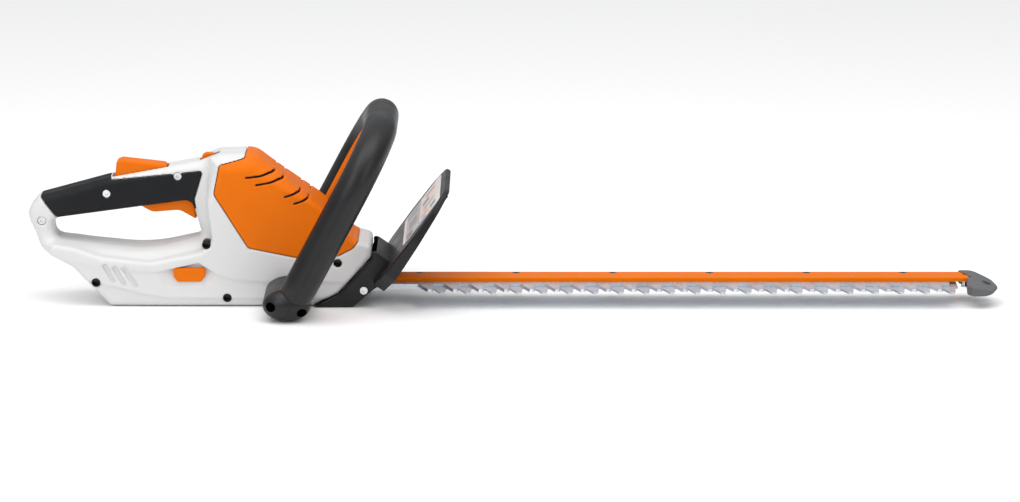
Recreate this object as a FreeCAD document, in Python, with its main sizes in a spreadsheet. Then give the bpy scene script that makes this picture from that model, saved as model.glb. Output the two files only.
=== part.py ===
"""A battery hedge trimmer: rear handle with trigger and lock-off lever, loop handle with a switch bail,
geared motor, crank and two counter-moving blades under a guide rail.

Row frame in millimetres: +X runs along the blades towards the tip, +Z is up, and the near side of the tool
is at -Y. The origin lies on the resting plane, in the middle of the tool's length.
"""

import FreeCAD
import Part
import math
import os

Vector, Placement, Rotation = FreeCAD.Vector, FreeCAD.Placement, FreeCAD.Rotation

# ---------------------------------------------------------------- driving dimensions

DIMENSIONS = {
    "body_half": 35.0,  # half width of the motor body
    "grip_half": 17.0,  # half width of the rear handle
    "wall": 2.6,  # moulded wall
    "gap": 0.3,  # gap round a separate moulded piece
    "grip_skin": 2.2,  # soft grip pad
    "boss_rad": 5.0,  # screw boss
    "screw_rad": 1.8,
    "screw_head_high": 2.4,
    "sink_rad": 4.2,  # recess over a screw head
    "trigger_half": 7.5,
    "lever_half": 9.0,
    "pin_rad": 1.5,
    "cell_rad": 9.2,
    "cell_long": 65.0,
    "gear_module": 0.9,
    "pinion_teeth": 12,
    "gear_teeth": 60,
    "gear_thick": 7.0,
    "crank_throw": 6.0,
    "cam_rad": 12.0,
    "crank_shaft_rad": 5.0,
    "yoke_play": 1.4,  # play of a cam along its yoke
    "run_clear": 0.05,  # running clearance of a shaft in its bush
    "motor_rad": 19.0,
    "motor_high": 60.0,
    "rotor_shaft_rad": 2.5,
    "blade_thick": 2.4,
    "blade_gap": 0.1,
    "tooth_pitch": 24.0,
    "tooth_count": 21,
    "rail_thick": 4.2,
    "bolt_pitch": 92.0,
    "bolt_count": 6,
    "loop_half": 92.0,  # loop centreline, half width
    "loop_high": 174.5,  # loop centreline, height above its feet
    "loop_lean": 62.0,  # slope of the loop, degrees from level
    "loop_deep": 31.6,  # loop tube across its plane
    "loop_wide": 32.4,  # loop tube in its plane
    "guard_lean": 53.2,  # slope of the hand guard, degrees from level
    "guard_thick": 3.0,
    "guard_rim": 12.5,  # depth of the guard's rim at its lower end
    "tip_high": 12.5,
}

doc = FreeCAD.newDocument("hedge_trimmer")
dims = doc.addObject("Spreadsheet::Sheet", "dims")
for row, (alias, value) in enumerate(DIMENSIONS.items(), 1):
    dims.set(f"A{row}", alias)
    dims.set(f"B{row}", str(value))
    dims.setAlias(f"B{row}", alias)
doc.recompute()

exports = []  # the objects written out, one file each


def dim(alias):
    return float(dims.get(alias))


# ---------------------------------------------------------------- places, in the row frame

BLADE_Z = 14.4  # underside of the lower blade
LOWER_Z = (BLADE_Z, BLADE_Z + dim("blade_thick"))
UPPER_Z = (LOWER_Z[1] + dim("blade_gap"), LOWER_Z[1] + dim("blade_gap") + dim("blade_thick"))
RAIL_Z = (UPPER_Z[1] + dim("blade_gap"), UPPER_Z[1] + dim("blade_gap") + dim("rail_thick"))
MOTOR_X = -236.0
CRANK_X = MOTOR_X + dim("gear_module") * (dim("pinion_teeth") + dim("gear_teeth")) / 2
GEARBOX_Z = (8.6, 13.0, 33.2, 36.4)  # floor underside, floor, cover underside, cover top
GEAR_Z = 25.0
LOOP_FOOT = Vector(-207.3, 0.0, 16.2)
GUARD_FOOT = Vector(-124.4, 0.0, 35.8)
RAIL_X = (-168.0, 432.0)
FIRST_TOOTH_X = -83.0
FIRST_BOLT_X = -90.0
BOLT_Y = 7.6
TRIGGER_PIVOT = (-306.0, 103.5)
LEVER_PIVOT = (-331.0, 119.5)
KEY_AT = (-305.5, 30.6)
JACK_AT = (-304.0, 26.0)

# outlines seen from the side: (x, z, corner radius)
HOUSING = [
    (-381, 0, 4), (-416, 37, 25), (-446, 53, 12), (-461, 87, 16), (-448, 102.3, 9), (-382, 120.3, 30),
    (-296, 136, 12), (-277, 143.5, 12), (-244, 144.5, 20), (-183, 97, 60), (-151, 64, 12),
    (-134.5, 59, 5), (-134.5, 47.5, 4), (-166, 12.5, 12), (-190, 0, 0),
]
HANDLE_HOLE = [(-436, 80.5, 7), (-433, 62, 11), (-344, 52, 60), (-294.5, 64, 5), (-304, 98.5, 9)]
HANDLE_RELIEF = [
    (-480, 160, 0), (-480, 60, 0), (-427, 62, 8), (-392, 48, 20), (-343, 42.5, 40), (-297, 51.5, 8),
    (-284, 63, 6), (-289, 100, 8), (-286, 160, 0),
]
BODY_CAVITY = [
    (-379, 2.6, 2), (-412, 38, 6), (-392, 44, 4), (-343, 38.5, 10), (-294, 47, 4), (-280.5, 60, 4),
    (-285.5, 100, 4), (-283, 137, 3), (-276, 140.6, 4), (-245, 141.6, 8), (-184, 94, 8), (-152.5, 61.2, 4),
    (-137.5, 56, 3), (-137.5, 48.8, 2), (-167.5, 15, 3), (-190.5, 2.6, 1),
]
HANDLE_CAVITY = [
    (-438, 84.5, 3), (-444, 96, 3), (-382, 116.8, 4), (-292, 133.2, 3), (-276, 136, 1), (-276, 101.5, 1),
    (-302, 102, 2),
]
COVER = [
    (-252.5, 150, 0), (-252.5, 141, 2), (-276.5, 135, 2), (-281.8, 108, 4), (-250, 57, 3), (-204, 47.5, 3),
    (-166, 49, 6), (-152, 56, 6), (-145, 64.5, 3), (-145, 75, 0), (-151, 80, 0), (-230, 150, 0),
]
COVER_CORE = [
    (-300, 140.9, 0), (-245.3, 141.9, 18), (-184.5, 94.4, 58), (-153, 62, 8), (-140, 57, 0),
    (-140, 20, 0), (-300, 20, 0),
]
GRIP_PAD = [
    (-447, 102.5, 3), (-432, 80, 2), (-304, 98.4, 2), (-302, 99.5, 2), (-293, 127.5, 3), (-380.5, 118.6, 1),
    (-382, 121, 1),
]
KEY_RECESS = [(-334, 35.5, 2), (-297, 42.6, 2), (-281.5, 32.5, 2), (-288, 22, 4), (-326, 21, 6)]
KEY_HEAD = [(-321, 37, 2), (-318.5, 25, 3), (-294.5, 24.5, 3), (-290.5, 37, 2)]
VENTS = [(-236.5, 128, 31), (-227.5, 121, 31), (-207.5, 109, 14), (-198.5, 102, 14)]  # x, z, length
VENT_SLOPE = 27.0
BODY_SCREWS = [(-394, 23), (-270.4, 8.5), (-289.5, 59.5), (-166, 42.2)]
HANDLE_SCREWS = [(-445.5, 79), (-384, 105), (-316.7, 121.7)]
LOOP_SCREWS = [(-226, 15.5), (-197, 9.5)]
TRIGGER = [
    (-355, 99, 1), (-355, 93, 1), (-342, 85.3, 14), (-316, 87.5, 12), (-300.5, 78.5, 2), (-299.8, 82, 1),
    (-302.5, 104, 4), (-308, 108, 4), (-314, 101, 3),
]
LEVER = [
    (-376.5, 117.6, 1), (-374.6, 134.6, 3), (-369.4, 136.6, 3), (-327.2, 131.8, 4), (-326.8, 121, 4),
    (-329, 115.2, 4), (-335, 115.4, 4), (-338, 118.4, 3),
]
GUARD_BASE = [
    (-189.6, 0, 0), (-165.6, 12, 12), (-133.9, 47, 4), (-133.9, 54, 2), (-129, 53, 3), (-113, 42, 3),
    (-117, 26, 5), (-132, 17, 6), (-152, 0, 3),
]
GUARD_BASE_CORE = [
    (-189, -3, 0), (-192, 2.6, 0), (-192, 20, 0), (-150, 62, 0), (-133, 62, 0), (-129, 52, 0), (-123, 38, 3),
    (-123.5, 26.4, 3), (-133.5, 19.3, 4), (-153, 2.6, 2), (-186, 2.6, 0),
]
BRACKET = [(-162, 12, 1), (-143.4, 12, 1), (-136, 18.9, 1), (-133.4, 21.4, 1), (-133.4, 28, 1), (-149, 28, 1)]
GEARBOX = [(-262, 8.6, 2), (-184, 8.6, 2), (-170, 17.5, 2), (-170, 33.2, 0), (-262, 33.2, 0)]

# outlines seen from above: (x, y, corner radius)
TIP = [
    (423, 14, 2), (436, 13.5, 14), (453.5, 0, 18), (458.9, -18, 15), (450, -42, 14), (430, -42.5, 6),
    (423, -36, 6),
]
TOOTH = [(-9.5, 1, 0), (-7.5, -1.5, 0), (1.2, -22.3, 1.8), (6.2, -22.3, 1.8), (8, -1.5, 0), (9.5, 1, 0)]
# outline in the guard's own plane: (across, up the slope, corner radius)
GUARD_FACE = [
    (-44, -14, 6), (-68, 8, 16), (-74, 46, 30), (-69, 80, 22), (-53, 101, 14),
    (53, 101, 14), (69, 80, 22), (74, 46, 30), (68, 8, 16), (44, -14, 6),
]

NEAR, FAR, UP = Vector(0, -1, 0), Vector(0, 1, 0), Vector(0, 0, 1)

# ---------------------------------------------------------------- helpers


def bind(thing, name, value):
    """Sets a property, through an expression where the value is a string."""
    if isinstance(value, str):
        thing.setExpression(name, value)
    else:
        setattr(thing, name, value)


def outline(points):
    """Lines and tangent corner arcs of a closed outline of (x, y, radius) corners."""
    count = len(points)
    starts, ends, arcs = [], [], []
    for index, (x, y, radius) in enumerate(points):
        corner = Vector(x, y, 0)
        before = Vector(*points[index - 1][:2], 0) - corner
        after = Vector(*points[(index + 1) % count][:2], 0) - corner
        before_unit = Vector(before).normalize()
        after_unit = Vector(after).normalize()
        angle = before_unit.getAngle(after_unit)
        if radius <= 0 or angle > math.pi - 0.01:
            starts.append(corner)
            ends.append(corner)
            arcs.append(None)
            continue
        reach = min(radius / math.tan(angle / 2), 0.48 * before.Length, 0.48 * after.Length)
        bisector = (before_unit + after_unit).normalize()
        centre = corner + bisector * (reach / math.cos(angle / 2))
        start = corner + before_unit * reach
        end = corner + after_unit * reach
        starts.append(start)
        ends.append(end)
        arcs.append(Part.Arc(start, centre - bisector * (start - centre).Length, end))
    edges = []
    for index in range(count):
        if arcs[index] is not None:
            edges.append(arcs[index])
        head = starts[(index + 1) % count]
        if (head - ends[index]).Length > 1e-6:
            edges.append(Part.LineSegment(ends[index], head))
    return edges


def grown(points, distance):
    """The same outline with every side moved out by distance."""
    area = sum(a[0] * b[1] - b[0] * a[1] for a, b in zip(points, points[1:] + points[:1]))
    turn = 1 if area > 0 else -1
    moved = []
    for index, (x, y, radius) in enumerate(points):
        here = Vector(x, y, 0)
        back = (here - Vector(*points[index - 1][:2], 0)).normalize()
        on = (Vector(*points[(index + 1) % len(points)][:2], 0) - here).normalize()
        normal_in = Vector(back.y, -back.x, 0) * turn
        middle = (normal_in + Vector(on.y, -on.x, 0) * turn).normalize()
        corner = here + middle * (distance / max(0.3, middle.dot(normal_in)))
        moved.append((corner.x, corner.y, radius))
    return moved


def circle(x, y, radius):
    return [Part.Circle(Vector(x, y, 0), UP, radius)]


def rectangle(x0, y0, x1, y1, radius=0.0):
    return outline([(x0, y0, radius), (x1, y0, radius), (x1, y1, radius), (x0, y1, radius)])


def polygon(x, y, radius, sides):
    corners = [math.tau * step / sides for step in range(sides)]
    return outline([(x + radius * math.cos(a), y + radius * math.sin(a), 0) for a in corners])


def body(label, placement=None, export=True):
    made = doc.addObject("PartDesign::Body", label)
    made.Label = label
    if placement is not None:
        made.Placement = placement
    if export:
        exports.append(made)
    return made


def extrude(owner, plane, edges, start, length, cut=False, side=1, taper=None):
    """Pads, or pockets, a sketch on an origin plane from start over length, along side times its normal."""
    sketch = owner.newObject("Sketcher::SketchObject", f"{owner.Name}_sketch")
    support = [f for f in owner.Origin.OriginFeatures if f.Role == plane][0]
    sketch.AttachmentSupport = [(support, "")]
    sketch.MapMode = "FlatFace"
    sketch.addGeometry(edges, False)
    sketch.setExpression("AttachmentOffset.Base.z", f"{side} * ({start})")
    kind = "PartDesign::Pocket" if cut else "PartDesign::Pad"
    feature = owner.newObject(kind, f"{owner.Name}_{'pocket' if cut else 'pad'}")
    feature.Profile = sketch
    bind(feature, "Length", str(length))
    # a pad runs along the sketch's normal and a pocket against it
    feature.Reversed = (side < 0) != cut
    if taper is not None:
        bind(feature, "TaperAngle", taper)
    sketch.Visibility = False
    owner.Tip = feature
    return feature


def side_pad(owner, points, half, cut=False):
    """A side outline taken to half on both sides of the middle plane."""
    return extrude(owner, "XZ_Plane", outline(points), f"-({half})", f"2 * ({half})", cut)


def rounded(owner, radius, chosen):
    """Fillets the edges of the body so far that chosen(edge) picks."""
    doc.recompute()
    base = owner.Tip
    names = [f"Edge{n}" for n, edge in enumerate(base.Shape.Edges, 1) if chosen(edge)]
    fillet = owner.newObject("PartDesign::Fillet", f"{owner.Name}_fillet")
    fillet.Base = (base, names)
    fillet.Radius = radius
    owner.Tip = fillet
    return fillet


def solid(label, kind, export, placement=None, **sizes):
    made = doc.addObject(f"Part::{kind}", label)
    made.Label = label
    for name, value in sizes.items():
        bind(made, name, value)
    if placement is not None:
        made.Placement = placement
    if export:
        exports.append(made)
    return made


def rod(label, radius, high, at, axis=UP, export=False):
    turned = Placement(Vector(*at), Rotation(UP, axis))
    return solid(label, "Cylinder", export, turned, Radius=radius, Height=high)


def block(label, low, high, export=False):
    sizes = {name: high[n] - low[n] for n, name in enumerate(("Length", "Width", "Height"))}
    return solid(label, "Box", export, Placement(Vector(*low), Rotation()), **sizes)


def combine(kind, label, pieces, export=True):
    """Fuse, Common (of all pieces), Cut (the rest from the first) or a group of separate solids."""
    names = {"Fuse": "MultiFuse", "Common": "MultiCommon", "Cut": "Cut", "Group": "Compound"}
    made = doc.addObject(f"Part::{names[kind]}", label)
    made.Label = label
    if kind == "Cut":
        made.Base = pieces[0]
        made.Tool = pieces[1] if len(pieces) == 2 else combine("Fuse", f"{label}_tool", pieces[1:], False)
    elif kind == "Group":
        made.Links = pieces
    else:
        made.Shapes = pieces
    if export:
        exports.append(made)
    return made


def group(label, pieces):
    return combine("Group", label, pieces)


def sheet_sketch(label, edges, placement):
    made = doc.addObject("Sketcher::SketchObject", label)
    made.addGeometry(edges, False)
    made.Placement = placement
    return made


def pipe(label, path, section, closed_ends=True):
    made = doc.addObject("Part::Sweep", label)
    made.Label = label
    made.Sections = [section]
    made.Spine = path
    made.Solid = closed_ends
    made.Frenet = False
    made.Transition = "Round corner"
    return made


def coil(label, at, radius, wire, high, turns, axis=UP):
    """A wound spring standing on at along axis."""
    turned = Placement(Vector(*at), Rotation(UP, axis))
    spine = solid(f"{label}_spine", "Helix", False, turned, Pitch=high / turns, Height=high, Radius=radius)
    start = turned.multVec(Vector(radius, 0, 0))
    facing = Rotation(Vector(1, 0, 0), UP, Vector(0, -1, 0), "XYZ")
    section_at = Placement(start, turned.Rotation.multiply(facing))
    section = sheet_sketch(f"{label}_wire", circle(0, 0, wire), section_at)
    made = pipe(label, spine, section)
    made.Frenet = True
    return made


# ---------------------------------------------------------------- housing


def bosses(shell, side):
    """Screw posts up to the middle plane, drilled, and sunk for the heads on the near half."""
    handle_wall = "dims.grip_half - dims.grip_skin - 0.6"
    for x, z in BODY_SCREWS + HANDLE_SCREWS:
        depth = handle_wall if z > 70 else "dims.body_half - 1"
        extrude(shell, "XZ_Plane", circle(x, z, dim("boss_rad")), 0.05, depth, side=side)
    for x, z in (TRIGGER_PIVOT, LEVER_PIVOT):
        extrude(shell, "XZ_Plane", circle(x, z, 3.4), 10.4, f"{handle_wall} - 10.4", side=side)
        extrude(shell, "XZ_Plane", circle(x, z, dim("pin_rad") + 0.1), -1, 14.2, cut=True, side=side)
    for x, z in BODY_SCREWS + HANDLE_SCREWS:
        sink_from = 12.0 if z > 70 else 20.0
        through = 60 if side > 0 else sink_from - 1
        extrude(shell, "XZ_Plane", circle(x, z, dim("screw_rad") + 0.1), -1, through, cut=True, side=side)
        if side > 0:
            extrude(shell, "XZ_Plane", circle(x, z, dim("sink_rad")), sink_from, 40, cut=True, side=side)


def housing_shell(label, side):
    """One moulded half: side 1 is the near half, at -Y, and -1 the far half."""
    shell = body(label)
    extrude(shell, "XZ_Plane", outline(HOUSING), 0, "dims.body_half", side=side)
    # the handle is narrower than the body
    extrude(shell, "XZ_Plane", outline(HANDLE_RELIEF), "dims.grip_half",
            "dims.body_half - dims.grip_half + 1", cut=True, side=side)
    extrude(shell, "XZ_Plane", outline(HANDLE_HOLE), -1, "dims.body_half + 2", cut=True, side=side)
    extrude(shell, "XZ_Plane", outline(BODY_CAVITY), -1,
            "dims.body_half - dims.wall + 1", cut=True, side=side)
    extrude(shell, "XZ_Plane", outline(HANDLE_CAVITY), -1,
            "dims.grip_half - dims.grip_skin - dims.wall + 1", cut=True, side=side)
    extrude(shell, "XZ_Plane", outline(grown(COVER, 0.3)), -1, "dims.body_half + 2", cut=True, side=side)
    # seat of the soft grip pad
    extrude(shell, "XZ_Plane", outline(grown(GRIP_PAD, 0.1)), "dims.grip_half - dims.grip_skin - 0.1",
            "dims.grip_skin + 1", cut=True, side=side)
    bosses(shell, side)
    # openings for the lever, the trigger, the unlock slide, the loop screws and the blades
    openings = [
        (rectangle(-378.5, 112, -326, 150), dim("lever_half") + 0.6),
        (rectangle(-358.5, 74, -297, 104), dim("trigger_half") + 0.6),
        (rectangle(-296, 129, -278, 150), 6.8),
        (rectangle(-186, 13, -130, 25), 24.3),
    ]
    for edges, half in openings:
        extrude(shell, "XZ_Plane", edges, -1, half + 1, cut=True, side=side)
    for x, z in LOOP_SCREWS:
        extrude(shell, "XZ_Plane", circle(x, z, 2.2), 25, 20, cut=True, side=side)
    return shell


right_shell = housing_shell("housing_shell_right", 1)
extrude(right_shell, "XZ_Plane", outline(grown(KEY_RECESS, 2.0)), "dims.body_half - 7.4", 5)
extrude(right_shell, "XZ_Plane", outline(KEY_RECESS), "dims.body_half - 5", 20, cut=True)
key_mouth = rectangle(KEY_AT[0] - 9.3, KEY_AT[1] - 4.3, KEY_AT[0] + 9.3, KEY_AT[1] + 4.3, 1)
extrude(right_shell, "XZ_Plane", key_mouth, 20, 20, cut=True)

left_shell = housing_shell("housing_shell_left", -1)
extrude(left_shell, "XZ_Plane", circle(*JACK_AT, 6.1), 20, 20, cut=True, side=-1)
extrude(left_shell, "XZ_Plane", circle(JACK_AT[0] + 14, JACK_AT[1], 1.8), 20, 20, cut=True, side=-1)

cover_outer = body("cover_outer", export=False)
side_pad(cover_outer, HOUSING, "dims.body_half")
rounded(cover_outer, 6.0, lambda edge: edge.BoundBox.YLength < 0.1 and edge.BoundBox.ZMax > 90
        and edge.BoundBox.XMin > -278)
cover_zone = body("cover_zone", export=False)
side_pad(cover_zone, COVER, "dims.body_half + 1")
cover_core = body("cover_core", export=False)
side_pad(cover_core, COVER_CORE, "dims.body_half - dims.wall")
vents = []
for number, (x, z, long) in enumerate(VENTS):
    for turn in (-1, 1):
        vent = block(f"vent_{number}_{'far' if turn > 0 else 'near'}", (0, 0, 0), (long, 18, 2.2))
        slope = Rotation(Vector(0, 1, 0), -VENT_SLOPE)
        corner = slope.multVec(Vector(-long / 2, 0, -1.1))
        vent.Placement = Placement(Vector(x, 20 if turn > 0 else -38, z) + corner, slope)
        vents.append(vent)
cover_skin = combine("Common", "cover_skin", [cover_outer, cover_zone], export=False)
combine("Cut", "motor_cover", [cover_skin, cover_core] + vents)


def grip_pad(label, side):
    """The soft pad let into one side of the handle."""
    pad = body(label)
    extrude(pad, "XZ_Plane", outline(GRIP_PAD), "dims.grip_half - dims.grip_skin",
            "dims.grip_skin", side=side)
    for x, z in HANDLE_SCREWS[1:]:
        if side > 0:
            extrude(pad, "XZ_Plane", circle(x, z, dim("sink_rad") + 0.2), 5, 20, cut=True, side=side)
    rounded(pad, 1.2, lambda edge: edge.BoundBox.YLength < 0.01 and abs(edge.BoundBox.YMin) > 16.9)
    return pad


grip_pad("grip_pad_right", 1)
grip_pad("grip_pad_left", -1)


def screw(label, head_at, axis, long, head_rad=3.6, head_high=2.4, rad=1.8):
    """A pan screw: head_at is the outer face of the head, axis the way it points."""
    turned = Placement(Vector(*head_at), Rotation(UP, axis))
    made = body(label, turned, export=False)
    extrude(made, "XY_Plane", circle(0, 0, head_rad), 0, head_high)
    extrude(made, "XY_Plane", circle(0, 0, rad), 0, long)
    extrude(made, "XY_Plane", polygon(0, 0, 1.9, 6), -1, 2.4, cut=True)
    return made


group("housing_screws", [screw(f"body_screw_{n}", (x, -20 - dim("screw_head_high"), z), FAR, 40)
                         for n, (x, z) in enumerate(BODY_SCREWS)])
group("handle_screws", [screw(f"handle_screw_{n}", (x, -12 - dim("screw_head_high"), z), FAR, 24)
                        for n, (x, z) in enumerate(HANDLE_SCREWS)])

# ---------------------------------------------------------------- handle controls

trigger = body("trigger")
side_pad(trigger, TRIGGER, "dims.trigger_half")
rounded(trigger, 2.0, lambda edge: edge.BoundBox.YLength < 0.01 and edge.BoundBox.ZMax < 95)
extrude(trigger, "XZ_Plane", circle(*TRIGGER_PIVOT, dim("pin_rad") + dim("run_clear")), -20, 40, cut=True)
rod("trigger_pin", "dims.pin_rad", 26.0, (TRIGGER_PIVOT[0], -13, TRIGGER_PIVOT[1]), FAR, export=True)

lever = body("lock_lever")
side_pad(lever, LEVER, "dims.lever_half")
rounded(lever, 2.0, lambda edge: edge.BoundBox.YLength < 0.01 and edge.BoundBox.ZMax > 128)
extrude(lever, "XZ_Plane", circle(*LEVER_PIVOT, dim("pin_rad") + dim("run_clear")), -20, 40, cut=True)
rod("lock_lever_pin", "dims.pin_rad", 26.0, (LEVER_PIVOT[0], -13, LEVER_PIVOT[1]), FAR, export=True)

trigger_spring = coil("trigger_spring", (-326, 0, 101.3), 3.0, 0.45, 9.9, 5)
lock_spring = coil("lock_spring", (-366, 0, 103.9), 3.2, 0.45, 13.0, 5)
exports += [trigger_spring, lock_spring]
group("spring_seats", [
    block("lock_spring_seat", (-372, -12, 101.4), (-360, 12, 103.2)),
    block("trigger_spring_seat", (-330.4, -12, 112.0), (-321.6, 12, 113.6)),
])

switch = body("trigger_switch")
extrude(switch, "XZ_Plane", rectangle(-352, 106.4, -332, 113.6, 0.8), -6, 12)
for x in (-348, -336):
    extrude(switch, "XZ_Plane", rectangle(x - 1, 113.6, x + 1, 115.4), -2.5, 5)

slide = body("unlock_slide")
slide_knob = [
    (-294.6, 133.6, 0), (-293.9, 139.6, 1), (-290.4, 141.6, 2), (-283.6, 141.6, 2), (-282.6, 133.6, 0),
]
side_pad(slide, slide_knob, 4.5)
extrude(slide, "XZ_Plane", rectangle(-295, 129.4, -282.4, 133.8, 0.5), -6.3, 12.6)

key = body("activation_key")
extrude(key, "XZ_Plane", outline(KEY_HEAD), "dims.body_half - 4.7", 4.5)
rounded(key, 1.2, lambda edge: edge.BoundBox.YLength < 0.01 and edge.BoundBox.YMin < -34)
key_stub = rectangle(KEY_AT[0] - 9, KEY_AT[1] - 4, KEY_AT[0] + 9, KEY_AT[1] + 4, 1)
extrude(key, "XZ_Plane", key_stub, 21.5, "dims.body_half - 26")
socket = body("key_socket")
socket_block = rectangle(KEY_AT[0] - 11.5, KEY_AT[1] - 6.8, KEY_AT[0] + 11.5, KEY_AT[1] + 6.6, 1)
extrude(socket, "XZ_Plane", socket_block, 19.2, 8)
socket_mouth = rectangle(KEY_AT[0] - 9.1, KEY_AT[1] - 4.1, KEY_AT[0] + 9.1, KEY_AT[1] + 4.1, 1)
extrude(socket, "XZ_Plane", socket_mouth, 20.8, 10, cut=True)

# ---------------------------------------------------------------- battery and electronics

CELLS = [(-19.4, 12.4), (0.0, 12.4), (19.4, 12.4), (-9.7, 28.5), (9.7, 28.5)]
CELL_X = (-372.0, -307.0)
ALONG = Vector(1, 0, 0)


def cell(number, y, z):
    """A round cell with its raised positive button."""
    made = body(f"cell_{number}", Placement(Vector(CELL_X[0], y, z), Rotation(UP, ALONG)), export=False)
    extrude(made, "XY_Plane", circle(0, 0, dim("cell_rad")), 0, "dims.cell_long - 0.8")
    extrude(made, "XY_Plane", circle(0, 0, 3), 0, "dims.cell_long")
    return made


group("battery_cells", [cell(n, y, z) for n, (y, z) in enumerate(CELLS)])


def cell_holder(label, x):
    made = body(label)
    sides = [
        (-29.8, 3.0, 2), (29.8, 3.0, 2), (29.8, 12.4, 2), (19.5, 38.2, 3), (-19.5, 38.2, 3), (-29.8, 12.4, 2),
    ]
    extrude(made, "YZ_Plane", outline(sides), x, 7)
    for y, z in CELLS:
        extrude(made, "YZ_Plane", circle(y, z, dim("cell_rad") + 0.05), x - 1, 9, cut=True)
    return made


cell_holder("cell_holder_rear", CELL_X[0] + 1)
cell_holder("cell_holder_front", CELL_X[1] - 19)
group("cell_links", [
    block("link_low", (-306.9, -24, 9), (-306.6, -4, 16)),
    block("link_high", (-306.9, -14, 25), (-306.6, 14, 32)),
    block("link_rear_low", (-372.5, -24, 9), (-372.2, 24, 16)),
    block("link_rear_high", (-372.5, -14, 25), (-372.2, 14, 32)),
])


def board(label, x, low, high, half, chips):
    made = body(label)
    extrude(made, "YZ_Plane", rectangle(-half, low, half, high, 1.5), x, 1.6)
    for y0, z0, y1, z1, tall in chips:
        extrude(made, "YZ_Plane", rectangle(y0, z0, y1, z1), x + 1.4, tall)
    return made


BATTERY_CHIPS = [(-20, 12, -8, 20, 2.4), (2, 10, 9, 17, 2.0), (-6, 24, 18, 29, 2.6)]
CONTROL_CHIPS = [
    (-22, 30, -10, 40, 5), (-4, 28, 6, 42, 7), (10, 32, 20, 40, 4), (-18, 10, -6, 22, 3), (2, 12, 8, 18, 6),
]
board("battery_board", -378.0, 6, 34, 26, BATTERY_CHIPS)
board("control_board", -288.0, 5, 46, 27, CONTROL_CHIPS)
jack_shell = rod("jack_shell", 5.9, 11.0, (JACK_AT[0], 23.8, JACK_AT[1]), FAR)
jack_bore = rod("jack_bore", 2.75, 9.0, (JACK_AT[0], 26.8, JACK_AT[1]), FAR)
combine("Cut", "charging_socket", [jack_shell, jack_bore])
rod("charge_led", 1.7, 6.0, (JACK_AT[0] + 14, 29.2, JACK_AT[1]), FAR, export=True)

# ---------------------------------------------------------------- motor

MOTOR_TOP = GEARBOX_Z[3] + dim("motor_high")
can = body("motor_can")
extrude(can, "XY_Plane", circle(MOTOR_X, 0, dim("motor_rad")), GEARBOX_Z[3], "dims.motor_high")
extrude(can, "XY_Plane", circle(MOTOR_X, 0, dim("motor_rad") - 1.6), GEARBOX_Z[3] + 1.8,
        "dims.motor_high", cut=True)
extrude(can, "XY_Plane", circle(MOTOR_X, 0, 4.2), GEARBOX_Z[3] - 1, 4, cut=True)
for turn in range(2):
    cooling = rectangle(MOTOR_X - 4, 60, MOTOR_X + 4, 84, 3)
    extrude(can, "XZ_Plane", cooling, 10, 20, cut=True, side=1 if turn else -1)
cap = body("motor_end_cap")
extrude(cap, "XY_Plane", circle(MOTOR_X, 0, dim("motor_rad")), MOTOR_TOP + 0.05, 5)
extrude(cap, "XY_Plane", circle(MOTOR_X, 0, dim("motor_rad") - 1.9), MOTOR_TOP - 3, 4)
extrude(cap, "XY_Plane", circle(MOTOR_X, 0, dim("rotor_shaft_rad") + 0.08), MOTOR_TOP - 5, 20, cut=True)
magnets = []
for turn in (0, 180):
    ring = body(f"magnet_{turn}", Placement(Vector(MOTOR_X, 0, 0), Rotation(UP, turn)), export=False)
    arc = [(-8, 14.5, 0), (8, 14.5, 0), (8, 15.2, 0), (-8, 15.2, 0)]
    extrude(ring, "XY_Plane", outline(arc), 50, 32)
    magnets.append(ring)
group("motor_magnets", magnets)
rotor = body("rotor")
extrude(rotor, "XY_Plane", circle(MOTOR_X, 0, dim("rotor_shaft_rad")), GEAR_Z - 1, 98)
extrude(rotor, "XY_Plane", circle(MOTOR_X, 0, 13.2), 46, 34)
for step in range(9):
    angle = math.tau * step / 9
    axis_out = Vector(math.cos(angle), math.sin(angle), 0)
    across = Vector(-axis_out.y, axis_out.x, 0)
    centre = Vector(MOTOR_X, 0, 0)
    corners = [centre + axis_out * r + across * w for r, w in ((7, -1), (14, -1), (14, 1), (7, 1))]
    extrude(rotor, "XY_Plane", outline([(c.x, c.y, 0) for c in corners]), 44, 38, cut=True)
extrude(rotor, "XY_Plane", circle(MOTOR_X, 0, 6), 82, 9)


def spur_points(x, y, module, teeth, phase):
    """A gear outline with straight flanked teeth."""
    points = []
    for step in range(teeth):
        for share, reach in ((-0.30, -1.2), (-0.14, 0.95), (0.14, 0.95), (0.30, -1.2)):
            angle = math.tau * (step + share + phase) / teeth
            radius = module * (teeth / 2 + reach)
            points.append((x + radius * math.cos(angle), y + radius * math.sin(angle), 0))
    return points


pinion = body("motor_pinion")
PINION, GEAR = int(dim("pinion_teeth")), int(dim("gear_teeth"))
MODULE = dim("gear_module")
extrude(pinion, "XY_Plane", outline(spur_points(MOTOR_X, 0, MODULE, PINION, 0.5)), GEAR_Z, "dims.gear_thick")
extrude(pinion, "XY_Plane", circle(MOTOR_X, 0, dim("rotor_shaft_rad") + 0.03), GEAR_Z - 2, 20, cut=True)
fan = body("cooling_fan")
FAN_Z = MOTOR_TOP + 7.0
extrude(fan, "XY_Plane", circle(MOTOR_X, 0, 19), FAN_Z, 1.6)
extrude(fan, "XY_Plane", circle(MOTOR_X, 0, 6), FAN_Z, 9)
for step in range(12):
    angle = math.tau * step / 12
    axis_out = Vector(math.cos(angle), math.sin(angle), 0)
    lean = Vector(-axis_out.y, axis_out.x, 0)
    blade_corners = ((8, -0.7), (18, 2.3), (18, 3.7), (8, 0.7))
    corners = [Vector(MOTOR_X, 0, 0) + axis_out * r + lean * w for r, w in blade_corners]
    extrude(fan, "XY_Plane", outline([(c.x, c.y, 0) for c in corners]), FAN_Z + 1, 8)
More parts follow.
